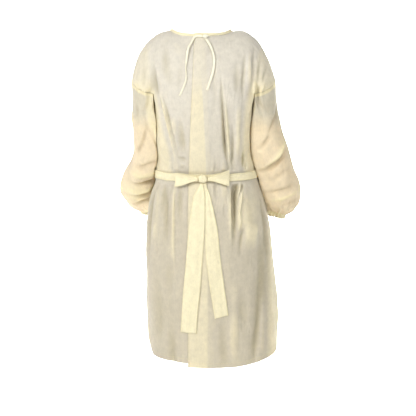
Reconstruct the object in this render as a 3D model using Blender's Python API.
"""Isolation gown of thin nonwoven cloth, worn, with nobody in it.

Metres, +Z up. The back of the gown faces -Y and the wearer's right is +X. The origin is the centre
of the neck opening, level with the top of the shoulders, where the gown is held up.

The body is one smooth surface in two stages. The yoke runs from the neck to the level of the
armholes in nested rows. Below it the torso runs on to the hem in flat sections, and each sleeve
starts from the outer columns of the yoke's last row and from the curve under the arm. Every piece
is a thin wall: points of that surface, and the same points moved inwards.
"""
import bpy
import numpy as np
from collections import namedtuple

# Cloth and clearances
WALL = 0.0015
STRIP_WALL = 0.0018
SEAM_GAP = 0.0003
OVERLAP_LIFT = 0.0024
OVERLAP_FADE = 0.030
OVERLAP_CLEAR = 0.004
EDGE_RAMP = 0.014
EDGE_CLEAR = 0.003
FLAT_FADE = 0.020

# Body levels
ARMHOLE_Z = -0.205
HIP_Z = -0.600
HEM_SWAY_Z = -0.800
HEM_Z = -1.068
BELT_Z = -0.458
BELT_HEIGHT = 0.026
BELT_LIFT = 0.0008

# Free edges of the two backs, x at the neck, at the belt and at the hem
OVER_EDGE_X = (-0.029, -0.048, -0.052)
UNDER_EDGE_X = (-0.014, 0.009, 0.013)
EDGE_Z = (-0.02, BELT_Z, HEM_Z)
UNDER_HEM_RISE = 0.013

# Where a yoke row and a torso section turn from the back or front to the arm's side, degrees
ARM_ANGLE = 50.0
SIDE_ANGLE = 38.0
PINCH_DEPTH = 0.020
PINCH_WIDTH = 9.0
PINCH_TOP = 5.4
UNDERARM_RISE = 0.010
UNDERARM_FADE = 0.095
UNDERARM_SLACK = 0.004
UNDERARM_GAP = 0.0007
ARMPIT_BLEND = 0.090

# A point inside the yoke, from which its normals face away, and the same for the back's slope
YOKE_MIDDLE = (0.0, 0.0, -0.16)
UP_AND_BACK = (0.0, -1.0, 0.3)

# Numbers of quads and rings
YOKE_ROWS = 9
BACK_COLUMNS = 13
OVERLAP_COLUMNS = 4
ARM_COLUMNS = 6
SIDE_COLUMNS = 3
FRONT_COLUMNS = 18
UPPER_LEVELS = 9
HIP_LEVELS = 5
SKIRT_LEVELS = 8
BINDING_COLUMNS = 60
BINDING_ROWS = 3
BELT_COLUMNS = 64
BELT_ROWS = 3
CUFF_RINGS = 4
STRIP_ROWS = 16
STRIP_COLUMNS = 3
KNOT_RINGS = 9
KNOT_SIDES = 16

# Binding and cuffs: the binding lies on the other back from one angle of the neck to the other
BINDING_GAP_ROW = 0.04
BINDING_LIFT_ANGLES = (-375.0, -430.0)
CUFF_HEIGHT = 0.020
CUFF_WALL = 0.0020

# Rows of the yoke from the top of the binding down to the armholes, the second of them the neck
# seam: the ridges of the two shoulders, the middle of the back and front, the power of the row's
# rounded outline, and how late it rises to the ridges
YokeRow = namedtuple("YokeRow", "right_x right_z left_x left_z back_y back_z front_y front_z power rise")
YOKE = (
    YokeRow(0.084, -0.001, -0.101, 0.001, -0.062, -0.014, 0.088, -0.044, 2.0, 4.0),
    YokeRow(0.090, -0.008, -0.107, -0.005, -0.067, -0.022, 0.093, -0.052, 2.0, 4.0),
    YokeRow(0.115, -0.006, -0.130, -0.010, -0.080, -0.042, 0.103, -0.078, 2.0, 2.6),
    YokeRow(0.143, -0.015, -0.154, -0.022, -0.096, -0.070, 0.112, -0.102, 2.1, 2.2),
    YokeRow(0.171, -0.040, -0.177, -0.041, -0.108, -0.098, 0.119, -0.125, 2.2, 2.0),
    YokeRow(0.192, -0.072, -0.196, -0.065, -0.116, -0.126, 0.124, -0.148, 2.25, 2.2),
    YokeRow(0.209, -0.105, -0.211, -0.094, -0.122, -0.152, 0.128, -0.168, 2.3, 2.6),
    YokeRow(0.221, -0.136, -0.222, -0.130, -0.125, -0.178, 0.130, -0.187, 2.3, 3.4),
    YokeRow(0.230, -0.166, -0.230, -0.168, -0.126, ARMHOLE_Z, 0.131, ARMHOLE_Z, 2.3, 4.6),
)
NECK_SEAM = 1.0
ARMHOLE = len(YOKE) - 1.0

TorsoRow = namedtuple("TorsoRow", "z left_x right_x back_y front_y power")
TORSO = (
    TorsoRow(-0.205, -0.148, 0.148, -0.126, 0.131, 2.5),
    TorsoRow(-0.270, -0.141, 0.139, -0.128, 0.130, 2.5),
    TorsoRow(-0.335, -0.138, 0.133, -0.131, 0.128, 2.5),
    TorsoRow(-0.395, -0.145, 0.147, -0.132, 0.127, 2.4),
    TorsoRow(-0.432, -0.152, 0.163, -0.127, 0.122, 2.4),
    TorsoRow(-0.458, -0.150, 0.164, -0.119, 0.115, 2.4),
    TorsoRow(-0.486, -0.155, 0.172, -0.126, 0.121, 2.4),
    TorsoRow(-0.520, -0.170, 0.186, -0.135, 0.131, 2.4),
    TorsoRow(-0.600, -0.186, 0.211, -0.145, 0.144, 2.3),
    TorsoRow(-0.700, -0.192, 0.224, -0.151, 0.151, 2.2),
    TorsoRow(-0.850, -0.190, 0.235, -0.154, 0.156, 2.2),
    TorsoRow(-1.000, -0.181, 0.243, -0.156, 0.159, 2.2),
    TorsoRow(-1.100, -0.173, 0.247, -0.157, 0.161, 2.2),
)

# The hem hangs a little lower on the wearer's left
HEM_DROP = {"left": -0.008, "right": 0.018, "back": -0.004, "front": 0.004}

# Rings of a sleeve from the shoulder down: centre, half-width across and half-depth front to back
SleeveRow = namedtuple("SleeveRow", "x y z across deep")
SLEEVE_RIGHT = (
    SleeveRow(0.194, 0.000, -0.185, 0.037, 0.088),
    SleeveRow(0.195, -0.002, -0.240, 0.042, 0.082),
    SleeveRow(0.197, -0.005, -0.300, 0.050, 0.074),
    SleeveRow(0.203, -0.007, -0.350, 0.056, 0.069),
    SleeveRow(0.219, -0.004, -0.402, 0.058, 0.067),
    SleeveRow(0.235, 0.003, -0.456, 0.060, 0.066),
    SleeveRow(0.249, 0.015, -0.510, 0.062, 0.064),
    SleeveRow(0.257, 0.027, -0.549, 0.058, 0.059),
    SleeveRow(0.253, 0.036, -0.573, 0.044, 0.045),
    SleeveRow(0.247, 0.041, -0.588, 0.031, 0.032),
)
SLEEVE_LEFT = (
    SleeveRow(-0.194, 0.000, -0.185, 0.037, 0.088),
    SleeveRow(-0.190, -0.002, -0.240, 0.040, 0.082),
    SleeveRow(-0.189, -0.003, -0.300, 0.042, 0.075),
    SleeveRow(-0.188, 0.001, -0.350, 0.040, 0.070),
    SleeveRow(-0.192, 0.011, -0.398, 0.037, 0.068),
    SleeveRow(-0.203, 0.030, -0.443, 0.043, 0.067),
    SleeveRow(-0.214, 0.058, -0.483, 0.054, 0.064),
    SleeveRow(-0.220, 0.090, -0.518, 0.060, 0.062),
    SleeveRow(-0.217, 0.124, -0.551, 0.056, 0.057),
    SleeveRow(-0.207, 0.153, -0.580, 0.043, 0.044),
    SleeveRow(-0.199, 0.171, -0.599, 0.031, 0.031),
)
SLEEVE_RINGS = 18
SLEEVE_BLEND = 0.110
SLEEVE_TURN = 110.0
UNDERARM_COLUMNS = 8

# Gathers above each cuff
SLEEVE_GATHER_DEPTH = 0.0028
SLEEVE_GATHER_REACH = 0.060
SLEEVE_GATHER_FULL = 0.012
CUFF_EASE = 0.006

# Folds of the body. "across" is x on the back and front and y on the sides; a trough is negative
Fold = namedtuple("Fold", "face across_start z_start across_end z_end depth half_width peak")
FOLDS = (
    Fold("back", -0.155, -0.080, -0.136, -0.205, -0.007, 0.012, 0.7),
    Fold("back", -0.138, -0.180, -0.098, -0.440, -0.006, 0.012, 0.2),
    Fold("back", -0.118, -0.150, -0.080, -0.430, 0.005, 0.014, 0.4),
    Fold("back", 0.054, -0.120, 0.078, -0.445, -0.005, 0.010, 0.5),
    Fold("back", 0.130, -0.060, 0.124, -0.200, -0.004, 0.010, 0.6),
    Fold("back", 0.158, -0.060, 0.150, -0.180, -0.004, 0.010, 0.7),
    Fold("back", 0.134, -0.230, 0.124, -0.445, -0.007, 0.010, 0.7),
    Fold("back", 0.088, -0.250, 0.092, -0.445, -0.006, 0.009, 0.7),
    Fold("back", 0.108, -0.250, 0.108, -0.445, 0.004, 0.010, 0.6),
    Fold("back", 0.084, -0.470, 0.108, -0.740, -0.010, 0.012, 0.2),
    Fold("back", 0.112, -0.470, 0.088, -0.540, 0.006, 0.009, 0.5),
    Fold("back", 0.066, -0.475, 0.086, -0.640, 0.005, 0.012, 0.3),
    Fold("back", 0.135, -0.475, 0.150, -0.760, -0.006, 0.014, 0.2),
    Fold("back", -0.090, -0.475, -0.080, -0.720, -0.005, 0.013, 0.3),
    Fold("back", -0.118, -0.475, -0.128, -0.780, 0.005, 0.016, 0.3),
    Fold("back", 0.158, -0.860, 0.160, -1.100, -0.007, 0.014, 0.7),
    Fold("back", -0.110, -0.800, -0.104, -1.100, -0.005, 0.018, 0.7),
    Fold("back", 0.100, -0.800, 0.094, -1.100, 0.005, 0.020, 0.7),
    Fold("front", -0.120, -0.200, -0.075, -0.445, -0.006, 0.014, 0.4),
    Fold("front", 0.118, -0.190, 0.080, -0.445, -0.006, 0.014, 0.4),
    Fold("front", 0.020, -0.220, 0.010, -0.445, -0.004, 0.014, 0.6),
    Fold("front", -0.085, -0.475, -0.105, -0.820, -0.008, 0.016, 0.2),
    Fold("front", -0.020, -0.475, -0.026, -0.760, 0.006, 0.018, 0.3),
    Fold("front", 0.045, -0.475, 0.058, -0.860, -0.008, 0.016, 0.2),
    Fold("front", 0.110, -0.475, 0.140, -0.780, 0.006, 0.018, 0.3),
    Fold("front", 0.000, -0.820, 0.004, -1.100, -0.006, 0.020, 0.7),
    Fold("left", -0.050, -0.480, -0.058, -0.800, -0.007, 0.015, 0.3),
    Fold("left", 0.040, -0.480, 0.052, -0.860, -0.007, 0.016, 0.3),
    Fold("left", -0.004, -0.480, -0.004, -0.800, 0.005, 0.018, 0.3),
    Fold("right", -0.046, -0.480, -0.060, -0.900, -0.007, 0.016, 0.3),
    Fold("right", 0.036, -0.480, 0.050, -0.840, -0.007, 0.016, 0.3),
    Fold("right", -0.006, -0.620, 0.000, -1.100, 0.006, 0.020, 0.5),
)
FACE_DIRECTION = {"back": (0, -1, 0), "front": (0, 1, 0), "left": (-1, 0, 0), "right": (1, 0, 0)}

# Gathers that the belt draws in, all round
BELT_GATHERS = 17
BELT_GATHER_DEPTH = 0.0022
BELT_GATHER_REACH = 0.070
BELT_GATHER_FULL = 0.025

# Folds of the sleeves: along is the distance from the armhole, angle 0 is the arm's outer side
SleeveFold = namedtuple("SleeveFold", "along_start angle_start along_end angle_end depth half_width peak")
RIGHT_SLEEVE_FOLDS = (
    SleeveFold(0.010, -110, 0.090, -70, -0.006, 0.012, 0.3),
    SleeveFold(0.130, -150, 0.190, -30, -0.006, 0.012, 0.4),
    SleeveFold(0.170, -150, 0.235, -20, 0.005, 0.012, 0.5),
    SleeveFold(0.225, -150, 0.270, -40, -0.005, 0.011, 0.5),
    SleeveFold(0.300, -140, 0.320, 0, -0.004, 0.012, 0.5),
    SleeveFold(0.180, 150, 0.240, 30, -0.006, 0.014, 0.5),
    SleeveFold(0.260, 160, 0.330, 60, -0.005, 0.012, 0.5),
)
LEFT_SLEEVE_FOLDS = (
    SleeveFold(0.010, -110, 0.090, -70, -0.006, 0.012, 0.3),
    SleeveFold(0.200, -150, 0.250, -30, -0.005, 0.011, 0.5),
    SleeveFold(0.260, -150, 0.300, -10, -0.007, 0.011, 0.4),
    SleeveFold(0.285, -160, 0.345, -40, 0.005, 0.012, 0.5),
    SleeveFold(0.320, -150, 0.380, -20, -0.006, 0.012, 0.5),
    SleeveFold(0.240, 150, 0.260, 30, -0.007, 0.012, 0.5),
    SleeveFold(0.300, 160, 0.330, 60, -0.005, 0.012, 0.5),
)

# Strips that lie on the back: both edges, and how far the strip stands off the cloth
StripRow = namedtuple("StripRow", "left_x left_z right_x right_z off")
BELT_TAIL_LEFT = (
    StripRow(-0.0160, -0.4780, -0.0035, -0.4780, 0.0070),
    StripRow(-0.0340, -0.489, -0.0010, -0.492, 0.0050),
    StripRow(-0.0430, -0.520, 0.0030, -0.520, 0.0035),
    StripRow(-0.0500, -0.609, 0.0030, -0.610, 0.0030),
    StripRow(-0.0580, -0.700, -0.0040, -0.700, 0.0030),
    StripRow(-0.0660, -0.790, -0.0130, -0.790, 0.0030),
    StripRow(-0.0710, -0.881, -0.0200, -0.880, 0.0030),
    StripRow(-0.0745, -0.955, -0.0225, -0.955, 0.0030),
)
BELT_TAIL_RIGHT = (
    StripRow(-0.0015, -0.4780, 0.0100, -0.4780, 0.0070),
    StripRow(0.0020, -0.490, 0.0200, -0.489, 0.0050),
    StripRow(0.0060, -0.521, 0.0370, -0.521, 0.0035),
    StripRow(0.0070, -0.609, 0.0450, -0.609, 0.0030),
    StripRow(0.0110, -0.699, 0.0530, -0.699, 0.0030),
    StripRow(0.0190, -0.780, 0.0620, -0.778, 0.0030),
    StripRow(0.0290, -0.860, 0.0720, -0.852, 0.0030),
    StripRow(0.0345, -0.906, 0.0780, -0.896, 0.0030),
)
NECK_TIE_LEFT = (
    StripRow(-0.0046, -0.0235, -0.0046, -0.0305, 0.0050),
    StripRow(-0.0195, -0.0215, -0.0190, -0.0290, 0.0034),
    StripRow(-0.0325, -0.0265, -0.0260, -0.0325, 0.0030),
    StripRow(-0.0430, -0.0460, -0.0345, -0.0475, 0.0050),
    StripRow(-0.0520, -0.0640, -0.0430, -0.0630, 0.0060),
    StripRow(-0.0570, -0.0940, -0.0480, -0.0940, 0.0040),
    StripRow(-0.0590, -0.1200, -0.0510, -0.1220, 0.0030),
    StripRow(-0.0580, -0.1490, -0.0495, -0.1500, 0.0024),
    StripRow(-0.0660, -0.1740, -0.0580, -0.1780, 0.0024),
    StripRow(-0.0780, -0.2010, -0.0700, -0.2050, 0.0024),
)
NECK_TIE_RIGHT = (
    StripRow(0.0020, -0.0338, 0.0095, -0.0334, 0.0056),
    StripRow(0.0110, -0.0490, 0.0195, -0.0450, 0.0060),
    StripRow(0.0210, -0.0690, 0.0295, -0.0660, 0.0060),
    StripRow(0.0265, -0.0890, 0.0355, -0.0880, 0.0040),
    StripRow(0.0265, -0.1120, 0.0355, -0.1130, 0.0030),
    StripRow(0.0205, -0.1390, 0.0295, -0.1410, 0.0024),
    StripRow(0.0120, -0.1650, 0.0205, -0.1680, 0.0024),
    StripRow(0.0060, -0.1840, 0.0145, -0.1870, 0.0024),
)

# A bow loop is a strip that runs out from the knot, turns and comes back nearer the cloth
LoopRow = namedtuple("LoopRow", "x top_z bottom_z off")
BOW_LOOP_LEFT = (
    LoopRow(-0.0180, -0.4540, -0.4660, 0.0150),
    LoopRow(-0.0350, -0.4460, -0.4740, 0.0170),
    LoopRow(-0.0580, -0.4420, -0.4830, 0.0170),
    LoopRow(-0.0800, -0.4400, -0.4890, 0.0140),
    LoopRow(-0.0870, -0.4400, -0.4900, 0.0095),
    LoopRow(-0.0790, -0.4410, -0.4880, 0.0058),
    LoopRow(-0.0580, -0.4430, -0.4800, 0.0052),
    LoopRow(-0.0350, -0.4460, -0.4730, 0.0056),
    LoopRow(-0.0200, -0.4540, -0.4650, 0.0078),
)
BOW_LOOP_RIGHT = (
    LoopRow(0.0118, -0.4540, -0.4660, 0.0150),
    LoopRow(0.0280, -0.4460, -0.4710, 0.0170),
    LoopRow(0.0500, -0.4390, -0.4790, 0.0170),
    LoopRow(0.0700, -0.4330, -0.4850, 0.0140),
    LoopRow(0.0775, -0.4320, -0.4860, 0.0095),
    LoopRow(0.0690, -0.4340, -0.4840, 0.0058),
    LoopRow(0.0500, -0.4400, -0.4780, 0.0052),
    LoopRow(0.0280, -0.4460, -0.4700, 0.0056),
    LoopRow(0.0130, -0.4540, -0.4650, 0.0078),
)

# Knots: middle on the back, distance off the cloth, and half-sizes across, off the cloth and up
Knot = namedtuple("Knot", "x z off across deep tall")
BELT_KNOT = Knot(-0.0035, -0.4610, 0.0142, 0.0150, 0.0086, 0.0150)
NECK_KNOT = Knot(0.0045, -0.0270, 0.0052, 0.0086, 0.0034, 0.0060)
KNOT_POWER = 2.6

# Colours
SINGLE_LAYER = (0.73, 0.67, 0.54, 1.0)
SLEEVE_CLOTH = (0.85, 0.74, 0.50, 1.0)
DOUBLE_LAYER = (0.91, 0.84, 0.58, 1.0)
ROUGHNESS = 0.85

# Numerical steps: halvings that find the yoke row at a height, the step of a slope, the weld size
ROW_SEARCH_STEPS = 30
SLOPE_STEP = 1.0e-3
WELD = 1.0e-6


def smooth(start, end, value):
    """Rise softly from 0 at start to 1 at end."""
    t = np.clip((value - start) / (end - start), 0.0, 1.0)
    return t * t * (3.0 - 2.0 * t)


def read_column(knots, values, at):
    """Read a table's column at any place along its knots, along a soft curve through its rows."""
    knots = np.asarray(knots, float)
    values = np.asarray(values, float)
    at = np.clip(at, knots[0], knots[-1])
    slope = np.gradient(values, knots)
    i = np.clip(np.searchsorted(knots, at, side="right") - 1, 0, len(knots) - 2)
    width = knots[i + 1] - knots[i]
    t = (at - knots[i]) / width
    return (
        (2 * t**3 - 3 * t**2 + 1) * values[i]
        + (t**3 - 2 * t**2 + t) * width * slope[i]
        + (3 * t**2 - 2 * t**3) * values[i + 1]
        + (t**3 - t**2) * width * slope[i + 1]
    )


def signed_power(value, power):
    return np.sign(value) * np.abs(value) ** power


def yoke_value(column, row):
    return read_column(range(len(YOKE)), [getattr(r, column) for r in YOKE], row)


def torso_value(column, z):
    return read_column([-r.z for r in TORSO], [getattr(r, column) for r in TORSO], -z)


def edge_x(places, z):
    return read_column([-level for level in EDGE_Z], places, -z)


def section(angle, left_x, right_x, back_y, front_y, power):
    """Point of a rounded section: angle 0 is the right side, -90 the back and 90 the front."""
    middle = (left_x + right_x) / 2
    half = (right_x - left_x) / 2
    cosine = np.cos(np.radians(angle))
    sine = np.sin(np.radians(angle))
    depth = np.where(sine < 0, -back_y, front_y)
    x = middle + half * signed_power(cosine, 2 / power)
    y = depth * signed_power(sine, 2 / power)
    return x, y


def back_angle(x, left_x, right_x, power):
    """The angle at which a section's back passes x."""
    middle = (left_x + right_x) / 2
    half = (right_x - left_x) / 2
    cosine = signed_power(np.clip((x - middle) / half, -1, 1), power / 2)
    return -np.degrees(np.arccos(cosine))


def yoke_point(angle, row):
    angle, row = np.broadcast_arrays(np.asarray(angle, float), np.asarray(row, float))
    right_z = yoke_value("right_z", row)
    left_z = yoke_value("left_z", row)
    x, y = section(
        angle,
        yoke_value("left_x", row),
        yoke_value("right_x", row),
        yoke_value("back_y", row),
        yoke_value("front_y", row),
        yoke_value("power", row),
    )
    cosine = np.cos(np.radians(angle))
    sine = np.sin(np.radians(angle))
    middle_z = np.where(sine < 0, yoke_value("back_z", row), yoke_value("front_z", row))
    ridge_z = np.where(cosine > 0, right_z, left_z)
    z = middle_z + (ridge_z - middle_z) * np.abs(cosine) ** yoke_value("rise", row)
    from_arm = np.abs(np.abs(sine) - np.sin(np.radians(ARM_ANGLE))) * 90.0
    groove = np.exp(-((from_arm / PINCH_WIDTH) ** 2)) * smooth(PINCH_TOP, ARMHOLE, row)
    y = y - np.sign(sine) * PINCH_DEPTH * groove
    return np.stack((x, y, z), axis=-1)


def underarm_point(side, across):
    """Curve under the arm from its back end (across -1) to its front end (across 1)."""
    back = yoke_point(side_angle(side, -ARM_ANGLE), ARMHOLE)
    front = yoke_point(side_angle(side, ARM_ANGLE), ARMHOLE)
    across = np.asarray(across, float)[..., None]
    arch = 1 - across**2
    point = back + (front - back) * (across + 1) / 2
    point = point + arch * np.array((0.0, 0.0, UNDERARM_RISE))
    return point - arch * np.array((side * UNDERARM_SLACK, 0.0, 0.0))


def side_angle(side, angle):
    """The same place on the right (side 1) or on the left (side -1)."""
    return angle if side > 0 else np.sign(angle) * 180.0 - angle


def hem_shift(angle):
    cosine = np.cos(np.radians(angle))
    sine = np.sin(np.radians(angle))
    sides = np.where(cosine > 0, HEM_DROP["right"], HEM_DROP["left"]) * cosine**2
    return sides + np.where(sine > 0, HEM_DROP["front"], HEM_DROP["back"]) * sine**2


def torso_section(angle, z):
    """Point of the torso's own section, away from the armholes."""
    x, y = section(
        angle,
        torso_value("left_x", z),
        torso_value("right_x", z),
        torso_value("back_y", z),
        torso_value("front_y", z),
        torso_value("power", z),
    )
    return np.stack((x, y, z), axis=-1)


def torso_point(top, angle, level, hem_rise=0.0):
    """Point of the torso below the armholes, which grows out of its column's top point."""
    top_part = np.clip((level - ARMHOLE_Z) / UNDERARM_FADE + 1, 0, 1)
    hem_part = smooth(HEM_SWAY_Z, HEM_Z, level)
    z = level + (top[..., 2] - ARMHOLE_Z) * top_part + (hem_shift(angle) + hem_rise) * hem_part
    grown = smooth(0.0, ARMPIT_BLEND, top[..., 2] - z)[..., None]
    point = torso_section(angle, z)
    return np.concatenate((top[..., :2] * (1 - grown) + point[..., :2] * grown, point[..., 2:]), axis=-1)


def unit(vectors):
    return vectors / np.maximum(np.linalg.norm(vectors, axis=-1, keepdims=True), 1e-12)


def normals(surface, columns, rows, outward):
    """Normals of surface(column, row) by small steps, all on the outward side."""
    along_column = surface(columns + SLOPE_STEP, rows) - surface(columns - SLOPE_STEP, rows)
    along_row = surface(columns, rows + SLOPE_STEP) - surface(columns, rows - SLOPE_STEP)
    normal = unit(np.cross(along_column, along_row))
    facing = np.sign(np.sum(normal * outward, axis=-1, keepdims=True))
    return normal * np.where(facing == 0, 1.0, facing)


def fold_profile(distance, along, depth, half_width, peak):
    rise = smooth(0.0, peak, along) * smooth(0.0, 1.0 - peak, 1.0 - along)
    return depth * rise * np.exp(-((distance / half_width) ** 2))


def line_distance(u, v, start, end):
    """How far (u, v) lies from the line from start to end, and how far along it, 0 to 1."""
    run = np.subtract(end, start)
    length = np.hypot(*run)
    along = ((u - start[0]) * run[0] + (v - start[1]) * run[1]) / length**2
    distance = ((u - start[0]) * run[1] - (v - start[1]) * run[0]) / length
    return distance, np.clip(along, 0.0, 1.0)


def body_folds(points, normal):
    """Height of all folds of the body at the given points of the smooth cloth."""
    height = np.zeros(points.shape[:-1])
    for fold in FOLDS:
        on_side = fold.face in ("left", "right")
        u = points[..., 1] if on_side else points[..., 0]
        facing = np.clip(np.sum(normal * np.array(FACE_DIRECTION[fold.face]), axis=-1), 0, 1)
        distance, along = line_distance(
            u, points[..., 2], (fold.across_start, fold.z_start), (fold.across_end, fold.z_end)
        )
        height += facing * fold_profile(distance, along, fold.depth, fold.half_width, fold.peak)
    turn = np.arctan2(points[..., 1], points[..., 0])
    from_belt = np.abs(points[..., 2] - BELT_Z) - BELT_HEIGHT / 2
    reach = smooth(0.0, BELT_GATHER_FULL, from_belt) * smooth(BELT_GATHER_REACH, BELT_GATHER_FULL, from_belt)
    height += BELT_GATHER_DEPTH * reach * np.cos(BELT_GATHERS * turn)
    return height * beside_overlap(points)


def beside_overlap(points):
    """0 where the two backs lie on each other, which stays flat, and 1 away from there."""
    left = edge_x(OVER_EDGE_X, points[..., 2]) - points[..., 0]
    right = points[..., 0] - edge_x(UNDER_EDGE_X, points[..., 2])
    return np.where(points[..., 1] < 0, smooth(0.0, FLAT_FADE, np.maximum(left, right)), 1.0)


def overlap_lift(points):
    """How far the over panel stands off the smooth cloth: a full lift where it lies on the other."""
    behind = points[..., 1] < 0
    past = points[..., 0] - edge_x(UNDER_EDGE_X, points[..., 2])
    return np.where(behind, OVERLAP_LIFT * smooth(OVERLAP_FADE, OVERLAP_CLEAR, past), 0.0)


def cover_lift(points):
    """The lift of what lies on both backs: it rises just before the over panel's free edge."""
    before = edge_x(OVER_EDGE_X, points[..., 2]) - points[..., 0]
    return overlap_lift(points) * smooth(EDGE_RAMP, EDGE_CLEAR, before)


def yoke_patch(angles, rows):
    """Points and normals of the yoke: angles holds one list of column angles for each row."""
    row_grid = np.repeat(np.asarray(rows, float)[:, None], angles.shape[1], axis=1)
    points = yoke_point(angles, row_grid)
    outward = points - np.array(YOKE_MIDDLE)
    return points, normals(yoke_point, angles, row_grid, outward)


def torso_patch(tops, angles, levels, hem_rise=0.0):
    """Points and normals of the torso: angles holds one list of column angles for each level."""
    level_grid = np.repeat(np.asarray(levels, float)[:, None], angles.shape[1], axis=1)
    top_grid = np.repeat(tops[None, :, :], len(levels), axis=0)
    points = torso_point(top_grid, angles, level_grid, hem_rise)
    outward = points * np.array((1.0, 1.0, 0.0))
    return points, normals(torso_section, angles, points[..., 2], outward)


def close_wall(name, patches, thickness, material, height=None):
    """Make one closed piece from patches of (outer points, normals) that share border points.

    height(points, normals) says how far the joined points move out, for folds and overlaps.
    """
    outer, normal_sum, index, faces = [], [], {}, []
    for points, normal in patches:
        ids = np.empty(points.shape[:2], dtype=int)
        for place in np.ndindex(*ids.shape):
            key = tuple(np.round(points[place] / WELD).astype(int))
            if key not in index:
                index[key] = len(outer)
                outer.append(points[place])
                normal_sum.append(np.zeros(3))
            ids[place] = index[key]
            normal_sum[index[key]] += normal[place]
        faces += grid_faces(ids, points, normal)
    outer, normal = np.array(outer), unit(np.array(normal_sum))
    if height:
        outer = outer + normal * height(outer, normal)[:, None]
    inner = outer - normal * thickness
    count = len(outer)
    inner_faces = [tuple(i + count for i in reversed(face)) for face in faces]
    rims = [(b, a, a + count, b + count) for a, b in open_edges(faces)]
    make_object(name, np.concatenate((outer, inner)), faces + inner_faces + rims, material)


def grid_faces(ids, points, normal):
    """Quads of a grid, turned so that they face the side that its normals face."""
    faces = []
    for r in range(ids.shape[0] - 1):
        for c in range(ids.shape[1] - 1):
            face = (ids[r, c], ids[r, c + 1], ids[r + 1, c + 1], ids[r + 1, c])
            side = np.cross(points[r, c + 1] - points[r + 1, c], points[r + 1, c + 1] - points[r, c])
            if np.dot(side, normal[r, c] + normal[r + 1, c + 1]) < 0:
                face = face[::-1]
            faces.append(tuple(int(i) for i in face))
    return faces


def open_edges(faces):
    """Edges that only one face uses, in that face's own direction."""
    used = {(face[i], face[(i + 1) % len(face)]) for face in faces for i in range(len(face))}
    return [edge for edge in used if (edge[1], edge[0]) not in used]


def make_object(name, points, faces, material):
    mesh = bpy.data.meshes.new(name)
    mesh.from_pydata([tuple(p) for p in points], [], faces)
    mesh.validate()
    mesh.shade_smooth()
    mesh.materials.append(material)
    bpy.context.collection.objects.link(bpy.data.objects.new(name, mesh))


def cloth_material(name, colour):
    material = bpy.data.materials.new(name)
    material.use_nodes = True
    shader = material.node_tree.nodes["Principled BSDF"]
    shader.inputs["Base Color"].default_value = colour
    shader.inputs["Roughness"].default_value = ROUGHNESS
    shader.inputs["Metallic"].default_value = 0.0
    return material


def spaced(start, end, count):
    """Columns from start to end, one row of them for each row of start and end."""
    start, end = np.broadcast_arrays(np.asarray(start, float), np.asarray(end, float))
    part = np.linspace(0.0, 1.0, count + 1)
    return start[:, None] + (end - start)[:, None] * part


def yoke_rows():
    return np.linspace(NECK_SEAM, ARMHOLE, YOKE_ROWS + 1)


def torso_levels():
    """Levels from the armholes to the hem, closest about the belt."""
    half = BELT_HEIGHT / 2
    upper = np.linspace(ARMHOLE_Z, BELT_Z + half, UPPER_LEVELS + 1)
    hip = np.linspace(BELT_Z - half, HIP_Z, HIP_LEVELS + 1)
    skirt = np.linspace(HIP_Z, HEM_Z, SKIRT_LEVELS + 1)[1:]
    return np.concatenate((upper, [BELT_Z], hip, skirt))


def yoke_columns(start_x, end_x, rows, count):
    """Angles of columns spaced evenly in x across the back of each yoke row."""
    places = spaced(start_x, end_x, count)
    left_x, right_x = yoke_value("left_x", rows)[:, None], yoke_value("right_x", rows)[:, None]
    return back_angle(places, left_x, right_x, yoke_value("power", rows)[:, None])


def torso_columns(start_x, end_x, levels, count):
    """Angles of columns spaced evenly in x across the back of each torso level."""
    places = spaced(start_x, end_x, count)
    left_x, right_x = torso_value("left_x", levels)[:, None], torso_value("right_x", levels)[:, None]
    return back_angle(places, left_x, right_x, torso_value("power", levels)[:, None])


def yoke_stops(rows):
    """Where each yoke row has the free edges and the two turns to the arms, as x."""
    z = yoke_value("back_z", rows)
    left, right = (yoke_point(np.full(len(rows), a), rows)[:, 0] for a in (ARM_ANGLE - 180, -ARM_ANGLE))
    return {"over": edge_x(OVER_EDGE_X, z), "under": edge_x(UNDER_EDGE_X, z), -1: left, 1: right}


def torso_stops(levels):
    """Where each torso level has the free edges and the two turns to the sides, as x."""
    left, right = (
        torso_section(np.full(len(levels), a), levels)[:, 0] for a in (SIDE_ANGLE - 180, -SIDE_ANGLE)
    )
    return {"over": edge_x(OVER_EDGE_X, levels), "under": edge_x(UNDER_EDGE_X, levels), -1: left, 1: right}


def back_columns(side, rows, stops, columns):
    """Columns of one back from its free edge to where it turns over the arm or to the side."""
    first, second = ("over", "under") if side > 0 else ("under", "over")
    strip = columns(stops[first], stops[second], rows, OVERLAP_COLUMNS)
    rest = columns(stops[second], stops[side], rows, BACK_COLUMNS)
    return np.concatenate((strip, rest[:, 1:]), axis=1)


def over_panel_height(points, normal):
    return body_folds(points, normal) + overlap_lift(points)


def seam_ends(patch, first=0.0, last=0.0):
    """Draw a patch's first and last columns back from a seam by half of its gap."""
    points, normal = patch
    points = points.copy()
    points[:, 0] += unit(points[:, 1] - points[:, 0]) * first
    points[:, -1] += unit(points[:, -2] - points[:, -1]) * last
    return points, normal


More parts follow.
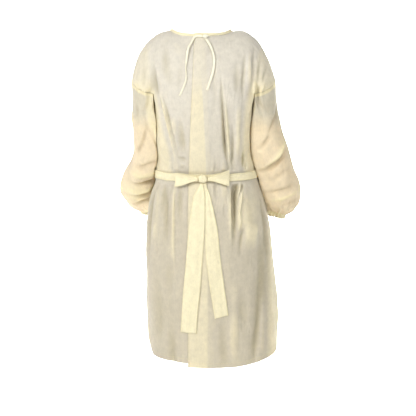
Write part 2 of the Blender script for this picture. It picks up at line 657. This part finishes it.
def make_back(name, side, material):
    """One back: yoke, arm columns, torso and the side as far as the side seam."""
    rows, levels = yoke_rows(), torso_levels()
    half_gap = SEAM_GAP / 2
    yoke_angles = back_columns(side, rows, yoke_stops(rows), yoke_columns)
    torso_angles = back_columns(side, levels, torso_stops(levels), torso_columns)
    across = np.linspace(-1.0, 0.0, SIDE_COLUMNS + 1)
    arm_angles = np.tile(ARM_ANGLE * np.linspace(-1.0, 0.0, ARM_COLUMNS + 1), (len(rows), 1))
    side_angles = np.tile(SIDE_ANGLE * across, (len(levels), 1))
    if side < 0:
        arm_angles, side_angles = -180.0 - arm_angles, -180.0 - side_angles
    yoke = yoke_patch(yoke_angles, rows)
    arm = yoke_patch(arm_angles, rows)
    hem_rise = 0.0 if side > 0 else UNDER_HEM_RISE
    torso = torso_patch(yoke[0][-1], torso_angles, levels, hem_rise)
    under = torso_patch(underarm_point(side, across), side_angles, levels, hem_rise)
    patches = [yoke, seam_ends(arm, last=half_gap), torso, seam_ends(under, last=half_gap)]
    close_wall(name, patches, WALL, material, over_panel_height if side > 0 else body_folds)


def make_front(name, material):
    """The front from shoulder to shoulder, with both sides as far as the side seams."""
    rows, levels = yoke_rows(), torso_levels()
    half_gap = SEAM_GAP / 2
    yoke_x, torso_x = yoke_stops(rows), torso_stops(levels)
    yoke = yoke_patch(-yoke_columns(yoke_x[1], yoke_x[-1], rows, FRONT_COLUMNS), rows)
    torso_angles = -torso_columns(torso_x[1], torso_x[-1], levels, FRONT_COLUMNS)
    torso = torso_patch(yoke[0][-1], torso_angles, levels)
    patches = [yoke, torso]
    across = np.linspace(0.0, 1.0, SIDE_COLUMNS + 1)
    for side in (1, -1):
        end = 0.0 if side > 0 else 180.0
        turn = end + side * ARM_ANGLE * np.linspace(0.0, 1.0, ARM_COLUMNS + 1)
        arm = yoke_patch(np.tile(turn, (len(rows), 1)), rows)
        angles = np.tile(end + side * SIDE_ANGLE * across, (len(levels), 1))
        under = torso_patch(underarm_point(side, across), angles, levels)
        patches += [seam_ends(patch, first=half_gap) for patch in (arm, under)]
    close_wall(name, patches, WALL, material, body_folds)


def sleeve_path(rows):
    """Centre, frame and size of each ring, with the distance of each ring along the sleeve."""
    centres = np.array([(r.x, r.y, r.z) for r in rows])
    length = np.concatenate(([0.0], np.cumsum(np.linalg.norm(np.diff(centres, axis=0), axis=1))))
    along = np.linspace(0.0, length[-1], SLEEVE_RINGS + 1)
    centre = np.stack([read_column(length, centres[:, i], along) for i in range(3)], axis=-1)
    tangent = unit(np.gradient(centre, axis=0))
    across = unit(np.array((1.0, 0.0, 0.0)) - tangent * tangent[:, :1])
    deep = np.cross(across, tangent)
    half_across = read_column(length, [r.across for r in rows], along)
    half_deep = read_column(length, [r.deep for r in rows], along)
    return along, centre, across, deep, half_across, half_deep


def sleeve_start(side):
    """First ring of a sleeve: the yoke's armhole columns, then the curve under the arm."""
    angles = np.linspace(-ARM_ANGLE, ARM_ANGLE, 2 * ARM_COLUMNS + 1)
    if side < 0:
        angles = 180.0 - angles
    outer, normal = (grid[0] for grid in yoke_patch(angles[None, :], [ARMHOLE]))
    outer = outer + normal * body_folds(outer, normal)[:, None]
    under = underarm_point(side, np.linspace(1.0, -1.0, UNDERARM_COLUMNS + 1)[1:-1])
    ring = np.concatenate((outer, under))
    ring[2 * ARM_COLUMNS :, 0] += side * UNDERARM_GAP
    ring[0, 0] += side * UNDERARM_GAP
    return ring - np.array((0.0, 0.0, SEAM_GAP)), normal


def ring_angles():
    """Angle of each column round a sleeve: 0 is the outer side and -90 the back."""
    outer = np.linspace(-SLEEVE_TURN, SLEEVE_TURN, 2 * ARM_COLUMNS + 1)
    under = np.linspace(SLEEVE_TURN, 360.0 - SLEEVE_TURN, UNDERARM_COLUMNS + 1)[1:-1]
    return np.concatenate((outer, under))


def make_sleeve(name, side, rows, folds, material):
    """A sleeve from the armhole to the gathers above the cuff."""
    along, centre, across, deep, half_across, half_deep = sleeve_path(rows)
    start, seam_normal = sleeve_start(side)
    angles = np.radians(ring_angles())
    grown = smooth(0.0, SLEEVE_BLEND, along)
    ends = along[-1] - along
    gather = SLEEVE_GATHER_DEPTH * smooth(SLEEVE_GATHER_REACH, SLEEVE_GATHER_FULL, ends)
    gather *= smooth(-CUFF_EASE, CUFF_EASE, ends)
    points = np.empty((len(along), len(start) + 1, 3))
    outward = np.empty_like(points)
    for i in range(len(along)):
        radial = across[i] * side * np.cos(angles)[:, None] + deep[i] * np.sin(angles)[:, None]
        ring = (
            centre[i]
            + across[i] * (side * half_across[i] * np.cos(angles))[:, None]
            + deep[i] * (half_deep[i] * np.sin(angles))[:, None]
        )
        height = sleeve_folds(folds, along[i], np.degrees(angles), (half_across[i] + half_deep[i]) / 2)
        height = height * grown[i] + gather[i] * np.cos(np.arange(len(angles)) * np.pi)
        ring = ring + unit(radial) * height[:, None]
        moved_start = start + centre[i] - centre[0]
        points[i, :-1] = moved_start * (1 - grown[i]) + ring * grown[i]
        outward[i, :-1] = radial
    points[:, -1] = points[:, 0]
    outward[:, -1] = outward[:, 0]
    normal = tube_normals(points, outward)
    normal[0, : len(seam_normal)] = seam_normal
    close_wall(name, [(points, normal)], WALL, material)
    return points[-1]


def tube_normals(points, outward):
    """Normals of a closed tube, whose last column repeats its first."""
    ring = points[:, :-1]
    along_column = np.roll(ring, -1, axis=1) - np.roll(ring, 1, axis=1)
    along_row = np.gradient(ring, axis=0)
    normal = unit(np.cross(along_column, along_row))
    normal *= np.sign(np.sum(normal * outward[:, :-1], axis=-1, keepdims=True))
    return np.concatenate((normal, normal[:, :1]), axis=1)


def sleeve_folds(folds, along, angle, radius):
    """Height of a sleeve's folds on one ring."""
    height = np.zeros_like(angle)
    wrapped = (angle + 180.0) % 360.0 - 180.0
    for fold in folds:
        distance, part = line_distance(
            np.full_like(angle, along),
            np.radians(wrapped) * radius,
            (fold.along_start, np.radians(fold.angle_start) * radius),
            (fold.along_end, np.radians(fold.angle_end) * radius),
        )
        height += fold_profile(distance, part, fold.depth, fold.half_width, fold.peak)
    return height


def make_cuff(name, rows, sleeve_end, material):
    """An elastic cuff: a short tube that goes on from the sleeve's last ring."""
    along, centre, across, deep, _, _ = sleeve_path(rows)
    direction = unit(centre[-1] - centre[-2])
    steps = np.linspace(SEAM_GAP, CUFF_HEIGHT, CUFF_RINGS)
    points = np.stack([sleeve_end + direction * step for step in steps])
    outward = points - (centre[-1] + direction * steps[:, None])[:, None, :]
    close_wall(name, [(points, tube_normals(points, outward))], CUFF_WALL, material)


def on_back(x, z, off):
    """Points at x and z on the outermost cloth of the back, moved out by off."""
    x, z, off = np.broadcast_arrays(np.asarray(x, float), np.asarray(z, float), np.asarray(off, float))
    points, normal = (yoke_back if z.max() > ARMHOLE_Z else torso_back)(x, z)
    height = body_folds(points, normal) + cover_lift(points) + off
    return points + normal * height[..., None]


def torso_back(x, z):
    def point(x, z):
        angle = back_angle(x, torso_value("left_x", z), torso_value("right_x", z), torso_value("power", z))
        return torso_section(angle, z)
    return point(x, z), normals(point, x, z, np.array((0.0, -1.0, 0.0)))


def yoke_back(x, z):
    def point(x, row):
        left_x, right_x = yoke_value("left_x", row), yoke_value("right_x", row)
        return yoke_point(back_angle(x, left_x, right_x, yoke_value("power", row)), row)
    low, high = np.zeros_like(x), np.full_like(x, ARMHOLE)
    for _ in range(ROW_SEARCH_STEPS):
        row = (low + high) / 2
        below = point(x, row)[..., 2] < z
        low, high = np.where(below, low, row), np.where(below, row, high)
    return point(x, row), normals(point, x, row, np.array(UP_AND_BACK))


def read_rows(rows, count):
    """Every column of a table, read at evenly spaced places along its rows."""
    at = np.linspace(0, len(rows) - 1, count + 1)
    knots = np.arange(len(rows))
    return {c: read_column(knots, [getattr(r, c) for r in rows], at) for c in rows[0]._fields}


def make_strip(name, left_x, left_z, right_x, right_z, off, material):
    """A strip of belt or tie on the back, from its two edges and its distance off the cloth."""
    x = spaced(left_x, right_x, STRIP_COLUMNS)
    z = spaced(left_z, right_z, STRIP_COLUMNS)
    points = on_back(x, z, off[:, None])
    normal = unit(np.cross(np.gradient(points, axis=0), np.gradient(points, axis=1)))
    close_wall(name, [(points, -normal * np.sign(normal[1, 1, 1]))], STRIP_WALL, material)


def make_tail(name, rows, material):
    """A free end that hangs flat on the back."""
    row = read_rows(rows, STRIP_ROWS)
    make_strip(name, row["left_x"], row["left_z"], row["right_x"], row["right_z"], row["off"], material)


def make_loop(name, rows, material):
    """A bow loop: its wall follows the strip out, round the turn and back to the knot."""
    row = read_rows(rows, 2 * STRIP_ROWS)
    make_strip(name, row["x"], row["top_z"], row["x"], row["bottom_z"], row["off"], material)


def make_knot(name, knot, material):
    """A knot: a rounded lump that stands on the cloth."""
    centre = on_back(knot.x, knot.z, knot.off)
    sizes = np.array((knot.across, knot.deep, knot.tall))
    points, faces = [centre + (0, 0, knot.tall)], []
    for ring in range(1, KNOT_RINGS):
        polar = np.pi * ring / KNOT_RINGS
        for side in range(KNOT_SIDES):
            turn = 2 * np.pi * side / KNOT_SIDES
            way = np.array((np.sin(polar) * np.cos(turn), np.sin(polar) * np.sin(turn), np.cos(polar)))
            points.append(centre + sizes * way / np.sum(np.abs(way) ** KNOT_POWER) ** (1 / KNOT_POWER))
    points.append(centre - (0, 0, knot.tall))
    last = len(points) - 1
    for side in range(KNOT_SIDES):
        after = (side + 1) % KNOT_SIDES
        faces.append((0, 1 + side, 1 + after))
        bottom = 1 + (KNOT_RINGS - 2) * KNOT_SIDES
        faces.append((last, bottom + after, bottom + side))
        for ring in range(KNOT_RINGS - 2):
            here, below = 1 + ring * KNOT_SIDES, 1 + (ring + 1) * KNOT_SIDES
            faces.append((here + side, below + side, below + after, here + after))
    make_object(name, np.array(points), faces, material)


def make_binding(name, material):
    """The strip round the neck edge, from the under back's free edge round to the over back's."""
    seam = np.array([NECK_SEAM])
    stops = yoke_stops(seam)
    start, end = yoke_columns(stops["under"], stops["over"], seam, 1)[0]
    angles = np.linspace(start, end - 360.0, BINDING_COLUMNS + 1)
    rows = np.linspace(NECK_SEAM - BINDING_GAP_ROW, 0.0, BINDING_ROWS)
    points, normal = yoke_patch(np.tile(angles, (BINDING_ROWS, 1)), rows)
    lift = OVERLAP_LIFT * smooth(*BINDING_LIFT_ANGLES, angles)
    close_wall(name, [(points + normal * lift[None, :, None], normal)], STRIP_WALL, material)


def make_belt(name, material):
    """The belt: a closed band round the waist, just outside all the cloth."""
    levels = BELT_Z + BELT_HEIGHT / 2 * np.linspace(1.0, -1.0, BELT_ROWS)
    turn = np.radians(np.linspace(-180.0, 180.0, BELT_COLUMNS + 1))
    cosine = signed_power(np.cos(turn), torso_value("power", BELT_Z) / 2)
    angles = np.tile(np.sign(turn) * np.degrees(np.arccos(cosine)), (len(levels), 1))
    tops = np.tile(np.array((0.0, 0.0, ARMHOLE_Z)), (BELT_COLUMNS + 1, 1))
    points, _ = torso_patch(tops, angles, levels)
    normal = tube_normals(points, points)
    lift = BELT_LIFT + STRIP_WALL + cover_lift(points)
    close_wall(name, [(points + normal * lift[..., None], normal)], STRIP_WALL, material)


def build():
    for thing in list(bpy.data.objects):
        bpy.data.objects.remove(thing)
    make_front("front_panel", cloth_material("front_cloth", SINGLE_LAYER))
    make_back("back_panel_right", 1, cloth_material("right_back_cloth", SINGLE_LAYER))
    make_back("back_panel_left", -1, cloth_material("left_back_cloth", SINGLE_LAYER))
    sleeves = (("right", 1, SLEEVE_RIGHT, RIGHT_SLEEVE_FOLDS), ("left", -1, SLEEVE_LEFT, LEFT_SLEEVE_FOLDS))
    for word, side, rows, folds in sleeves:
        sleeve_cloth = cloth_material(f"{word}_sleeve_cloth", SLEEVE_CLOTH)
        sleeve_end = make_sleeve(f"sleeve_{word}", side, rows, folds, sleeve_cloth)
        make_cuff(f"cuff_{word}", rows, sleeve_end, cloth_material(f"{word}_cuff", DOUBLE_LAYER))
    make_binding("neck_binding", cloth_material("binding", DOUBLE_LAYER))
    make_belt("belt_band", cloth_material("belt", DOUBLE_LAYER))
    bow_and_ties = (
        ("neck_tie_left", make_tail, NECK_TIE_LEFT),
        ("neck_tie_right", make_tail, NECK_TIE_RIGHT),
        ("belt_tail_left", make_tail, BELT_TAIL_LEFT),
        ("belt_tail_right", make_tail, BELT_TAIL_RIGHT),
        ("bow_loop_left", make_loop, BOW_LOOP_LEFT),
        ("bow_loop_right", make_loop, BOW_LOOP_RIGHT),
        ("belt_knot", make_knot, BELT_KNOT),
        ("neck_knot", make_knot, NECK_KNOT),
    )
    for name, make, table in bow_and_ties:
        make(name, table, cloth_material(name, DOUBLE_LAYER))


build()
